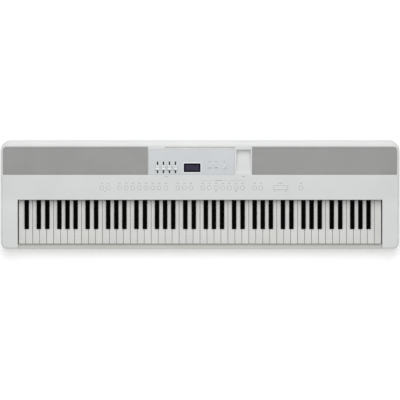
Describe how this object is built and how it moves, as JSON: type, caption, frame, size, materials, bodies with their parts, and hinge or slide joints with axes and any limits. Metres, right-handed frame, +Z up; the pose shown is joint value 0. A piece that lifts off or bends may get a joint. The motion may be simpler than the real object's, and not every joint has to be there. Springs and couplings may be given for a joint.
{
  "type": "digital piano",
  "caption": "Slab digital piano with a full weighted keyboard between rounded cheeks, a sloping control deck and wide speaker grilles.",
  "frame": {"origin": "middle of the footprint, on the surface that the rubber feet stand on", "axes": "+X to the player's right along the keyboard, +Y from the player to the rear, +Z up"},
  "size_m": [1.34, 0.368, 0.15],
  "materials": {
    "case_white": "satin white moulding",
    "lower_white": "satin warm white moulding",
    "natural_keys": "smooth off-white",
    "sharp_keys": "fine matt black",
    "grille_grey": "fine grey mesh",
    "panel_grey": "satin pale blue-grey",
    "display": "dark glossy window",
    "button_white": "satin white",
    "dark_plastic": "black moulding",
    "board_green": "printed circuit board",
    "steel": "plated sheet steel",
    "rubber": "moulded rubber"
  },
  "bodies": {
    "case": {"bottom_case": "lower_white", "control_panel": "panel_grey", "display_module": "dark_plastic", "display_window": "display", "foot_front_left": "rubber", "foot_front_right": "rubber", "foot_rear_left": "rubber", "foot_rear_right": "rubber", "jack_board": "dark_plastic", "jack_panel": "lower_white", "key_chassis": "steel", "key_contact_board": "board_green", "key_slip": "lower_white", "main_board": "board_green", "panel_board": "board_green", "rear_panel": "lower_white", "speaker_grille_left": "grille_grey", "speaker_grille_right": "grille_grey", "speaker_left": "dark_plastic", "speaker_right": "dark_plastic", "top_case": "case_white", "usb_socket": "steel"},
    "black_keys_octave_1": {"black_keys_octave_1": "sharp_keys"},
    "black_keys_octave_2": {"black_keys_octave_2": "sharp_keys"},
    "black_keys_octave_3": {"black_keys_octave_3": "sharp_keys"},
    "black_keys_octave_5": {"black_keys_octave_5": "sharp_keys"},
    "black_keys_octave_6": {"black_keys_octave_6": "sharp_keys"},
    "black_keys_octave_7": {"black_keys_octave_7": "sharp_keys"},
    "button_strip_functions": {"button_strip_functions": "button_white"},
    "button_strip_memory": {"button_strip_memory": "button_white"},
    "button_strip_rhythm": {"button_strip_rhythm": "button_white"},
    "button_strip_song": {"button_strip_song": "button_white"},
    "button_strip_voices": {"button_strip_voices": "button_white"},
    "enter_button": {"enter_button": "button_white"},
    "key_a4": {"key_a4": "natural_keys"},
    "key_a_sharp4": {"key_a_sharp4": "sharp_keys"},
    "key_b4": {"key_b4": "natural_keys"},
    "key_c4": {"key_c4": "natural_keys"},
    "key_c_sharp4": {"key_c_sharp4": "sharp_keys"},
    "key_d4": {"key_d4": "natural_keys"},
    "key_d_sharp4": {"key_d_sharp4": "sharp_keys"},
    "key_e4": {"key_e4": "natural_keys"},
    "key_f4": {"key_f4": "natural_keys"},
    "key_f_sharp4": {"key_f_sharp4": "sharp_keys"},
    "key_g4": {"key_g4": "natural_keys"},
    "key_g_sharp4": {"key_g_sharp4": "sharp_keys"},
    "page_back_button": {"page_back_button": "button_white"},
    "page_next_button": {"page_next_button": "button_white"},
    "power_button": {"power_button": "button_white"},
    "slider_cap_1": {"slider_cap_1": "button_white"},
    "slider_cap_2": {"slider_cap_2": "button_white"},
    "slider_cap_3": {"slider_cap_3": "button_white"},
    "slider_cap_4": {"slider_cap_4": "button_white"},
    "transpose_rocker": {"transpose_rocker": "button_white"},
    "white_keys_octave_1": {"white_keys_octave_1": "natural_keys"},
    "white_keys_octave_2": {"white_keys_octave_2": "natural_keys"},
    "white_keys_octave_3": {"white_keys_octave_3": "natural_keys"},
    "white_keys_octave_5": {"white_keys_octave_5": "natural_keys"},
    "white_keys_octave_6": {"white_keys_octave_6": "natural_keys"},
    "white_keys_octave_7": {"white_keys_octave_7": "natural_keys"}
  },
  "joints": [
    {"name": "slider_1_travel", "type": "slide", "parent": "case", "child": "slider_cap_1", "axis": [0, 0.9749, 0.2227], "range_m": [-0.015, 0.015]},
    {"name": "slider_2_travel", "type": "slide", "parent": "case", "child": "slider_cap_2", "axis": [0, 0.9749, 0.2227], "range_m": [-0.015, 0.015]},
    {"name": "slider_3_travel", "type": "slide", "parent": "case", "child": "slider_cap_3", "axis": [0, 0.9749, 0.2227], "range_m": [-0.015, 0.015]},
    {"name": "slider_4_travel", "type": "slide", "parent": "case", "child": "slider_cap_4", "axis": [0, 0.9749, 0.2227], "range_m": [-0.015, 0.015]},
    {"name": "page_back_press", "type": "slide", "parent": "case", "child": "page_back_button", "axis": [0, 0.2227, -0.9749], "range_m": [0, 0.0008], "stiffness_N_per_m": 300, "springref_m": -0.002},
    {"name": "page_next_press", "type": "slide", "parent": "case", "child": "page_next_button", "axis": [0, 0.2227, -0.9749], "range_m": [0, 0.0008], "stiffness_N_per_m": 300, "springref_m": -0.002},
    {"name": "enter_press", "type": "slide", "parent": "case", "child": "enter_button", "axis": [0, 0.2227, -0.9749], "range_m": [0, 0.0008], "stiffness_N_per_m": 300, "springref_m": -0.002},
    {"name": "power_press", "type": "slide", "parent": "case", "child": "power_button", "axis": [0, 0.2227, -0.9749], "range_m": [0, 0.0015], "stiffness_N_per_m": 500, "springref_m": -0.002},
    {"name": "transpose_rock", "type": "hinge", "parent": "case", "child": "transpose_rocker", "pos_m": [0.271, 0.02331, 0.1125], "axis": [0, 0.9749, 0.2227], "range_deg": [-3, 3], "stiffness_Nm_per_rad": 0.4},
    {"name": "functions_press", "type": "slide", "parent": "case", "child": "button_strip_functions", "axis": [0, 0.2227, -0.9749], "range_m": [0, 0.001], "stiffness_N_per_m": 900, "springref_m": -0.002},
    {"name": "voices_press", "type": "slide", "parent": "case", "child": "button_strip_voices", "axis": [0, 0.2227, -0.9749], "range_m": [0, 0.001], "stiffness_N_per_m": 900, "springref_m": -0.002},
    {"name": "song_press", "type": "slide", "parent": "case", "child": "button_strip_song", "axis": [0, 0.2227, -0.9749], "range_m": [0, 0.001], "stiffness_N_per_m": 900, "springref_m": -0.002},
    {"name": "memory_press", "type": "slide", "parent": "case", "child": "button_strip_memory", "axis": [0, 0.2227, -0.9749], "range_m": [0, 0.001], "stiffness_N_per_m": 900, "springref_m": -0.002},
    {"name": "rhythm_press", "type": "slide", "parent": "case", "child": "button_strip_rhythm", "axis": [0, 0.2227, -0.9749], "range_m": [0, 0.001], "stiffness_N_per_m": 900, "springref_m": -0.002},
    {"name": "key_c4_pivot", "type": "hinge", "parent": "case", "child": "key_c4", "pos_m": [-0.05875, 0.061, 0.066], "axis": [1, 0, 0], "range_deg": [0, 2.5], "stiffness_Nm_per_rad": 0.67, "springref_deg": -17.19},
    {"name": "key_c_sharp4_pivot", "type": "hinge", "parent": "case", "child": "key_c_sharp4", "pos_m": [-0.04952, 0.061, 0.066], "axis": [1, 0, 0], "range_deg": [0, 2.5], "stiffness_Nm_per_rad": 0.6, "springref_deg": -17.19},
    {"name": "key_d4_pivot", "type": "hinge", "parent": "case", "child": "key_d4", "pos_m": [-0.03525, 0.061, 0.066], "axis": [1, 0, 0], "range_deg": [0, 2.5], "stiffness_Nm_per_rad": 0.68, "springref_deg": -17.19},
    {"name": "key_d_sharp4_pivot", "type": "hinge", "parent": "case", "child": "key_d_sharp4", "pos_m": [-0.02098, 0.061, 0.066], "axis": [1, 0, 0], "range_deg": [0, 2.5], "stiffness_Nm_per_rad": 0.6, "springref_deg": -17.19},
    {"name": "key_e4_pivot", "type": "hinge", "parent": "case", "child": "key_e4", "pos_m": [-0.01175, 0.061, 0.066], "axis": [1, 0, 0], "range_deg": [0, 2.5], "stiffness_Nm_per_rad": 0.67, "springref_deg": -17.19},
    {"name": "key_f4_pivot", "type": "hinge", "parent": "case", "child": "key_f4", "pos_m": [0.01175, 0.061, 0.066], "axis": [1, 0, 0], "range_deg": [0, 2.5], "stiffness_Nm_per_rad": 0.66, "springref_deg": -17.19},
    {"name": "key_f_sharp4_pivot", "type": "hinge", "parent": "case", "child": "key_f_sharp4", "pos_m": [0.01972, 0.061, 0.066], "axis": [1, 0, 0], "range_deg": [0, 2.5], "stiffness_Nm_per_rad": 0.6, "springref_deg": -17.19},
    {"name": "key_g4_pivot", "type": "hinge", "parent": "case", "child": "key_g4", "pos_m": [0.03525, 0.061, 0.066], "axis": [1, 0, 0], "range_deg": [0, 2.5], "stiffness_Nm_per_rad": 0.66, "springref_deg": -17.19},
    {"name": "key_g_sharp4_pivot", "type": "hinge", "parent": "case", "child": "key_g_sharp4", "pos_m": [0.047, 0.061, 0.066], "axis": [1, 0, 0], "range_deg": [0, 2.5], "stiffness_Nm_per_rad": 0.6, "springref_deg": -17.19},
    {"name": "key_a4_pivot", "type": "hinge", "parent": "case", "child": "key_a4", "pos_m": [0.05875, 0.061, 0.066], "axis": [1, 0, 0], "range_deg": [0, 2.5], "stiffness_Nm_per_rad": 0.66, "springref_deg": -17.19},
    {"name": "key_a_sharp4_pivot", "type": "hinge", "parent": "case", "child": "key_a_sharp4", "pos_m": [0.07428, 0.061, 0.066], "axis": [1, 0, 0], "range_deg": [0, 2.5], "stiffness_Nm_per_rad": 0.6, "springref_deg": -17.19},
    {"name": "key_b4_pivot", "type": "hinge", "parent": "case", "child": "key_b4", "pos_m": [0.08225, 0.061, 0.066], "axis": [1, 0, 0], "range_deg": [0, 2.5], "stiffness_Nm_per_rad": 0.66, "springref_deg": -17.19},
    {"name": "white_octave_1_pivot", "type": "hinge", "parent": "case", "child": "white_keys_octave_1", "pos_m": [-0.50525, 0.061, 0.066], "axis": [1, 0, 0], "range_deg": [0, 2.5], "stiffness_Nm_per_rad": 6.04, "springref_deg": -17.19},
    {"name": "black_octave_1_pivot", "type": "hinge", "parent": "case", "child": "black_keys_octave_1", "pos_m": [-0.50148, 0.061, 0.066], "axis": [1, 0, 0], "range_deg": [0, 2.5], "stiffness_Nm_per_rad": 3.58, "springref_deg": -17.19},
    {"name": "white_octave_2_pivot", "type": "hinge", "parent": "case", "child": "white_keys_octave_2", "pos_m": [-0.31725, 0.061, 0.066], "axis": [1, 0, 0], "range_deg": [0, 2.5], "stiffness_Nm_per_rad": 4.64, "springref_deg": -17.19},
    {"name": "black_octave_2_pivot", "type": "hinge", "parent": "case", "child": "black_keys_octave_2", "pos_m": [-0.31662, 0.061, 0.066], "axis": [1, 0, 0], "range_deg": [0, 2.5], "stiffness_Nm_per_rad": 2.98, "springref_deg": -17.19},
    {"name": "white_octave_3_pivot", "type": "hinge", "parent": "case", "child": "white_keys_octave_3", "pos_m": [-0.15275, 0.061, 0.066], "axis": [1, 0, 0], "range_deg": [0, 2.5], "stiffness_Nm_per_rad": 4.64, "springref_deg": -17.19},
    {"name": "black_octave_3_pivot", "type": "hinge", "parent": "case", "child": "black_keys_octave_3", "pos_m": [-0.15212, 0.061, 0.066], "axis": [1, 0, 0], "range_deg": [0, 2.5], "stiffness_Nm_per_rad": 2.98, "springref_deg": -17.19},
    {"name": "white_octave_5_pivot", "type": "hinge", "parent": "case", "child": "white_keys_octave_5", "pos_m": [0.17625, 0.061, 0.066], "axis": [1, 0, 0], "range_deg": [0, 2.5], "stiffness_Nm_per_rad": 4.64, "springref_deg": -17.19},
    {"name": "black_octave_5_pivot", "type": "hinge", "parent": "case", "child": "black_keys_octave_5", "pos_m": [0.17688, 0.061, 0.066], "axis": [1, 0, 0], "range_deg": [0, 2.5], "stiffness_Nm_per_rad": 2.98, "springref_deg": -17.19},
    {"name": "white_octave_6_pivot", "type": "hinge", "parent": "case", "child": "white_keys_octave_6", "pos_m": [0.34075, 0.061, 0.066], "axis": [1, 0, 0], "range_deg": [0, 2.5], "stiffness_Nm_per_rad": 4.64, "springref_deg": -17.19},
    {"name": "black_octave_6_pivot", "type": "hinge", "parent": "case", "child": "black_keys_octave_6", "pos_m": [0.34138, 0.061, 0.066], "axis": [1, 0, 0], "range_deg": [0, 2.5], "stiffness_Nm_per_rad": 2.98, "springref_deg": -17.19},
    {"name": "white_octave_7_pivot", "type": "hinge", "parent": "case", "child": "white_keys_octave_7", "pos_m": [0.517, 0.061, 0.066], "axis": [1, 0, 0], "range_deg": [0, 2.5], "stiffness_Nm_per_rad": 5.42, "springref_deg": -17.19},
    {"name": "black_octave_7_pivot", "type": "hinge", "parent": "case", "child": "black_keys_octave_7", "pos_m": [0.50588, 0.061, 0.066], "axis": [1, 0, 0], "range_deg": [0, 2.5], "stiffness_Nm_per_rad": 2.98, "springref_deg": -17.19}
  ]
}
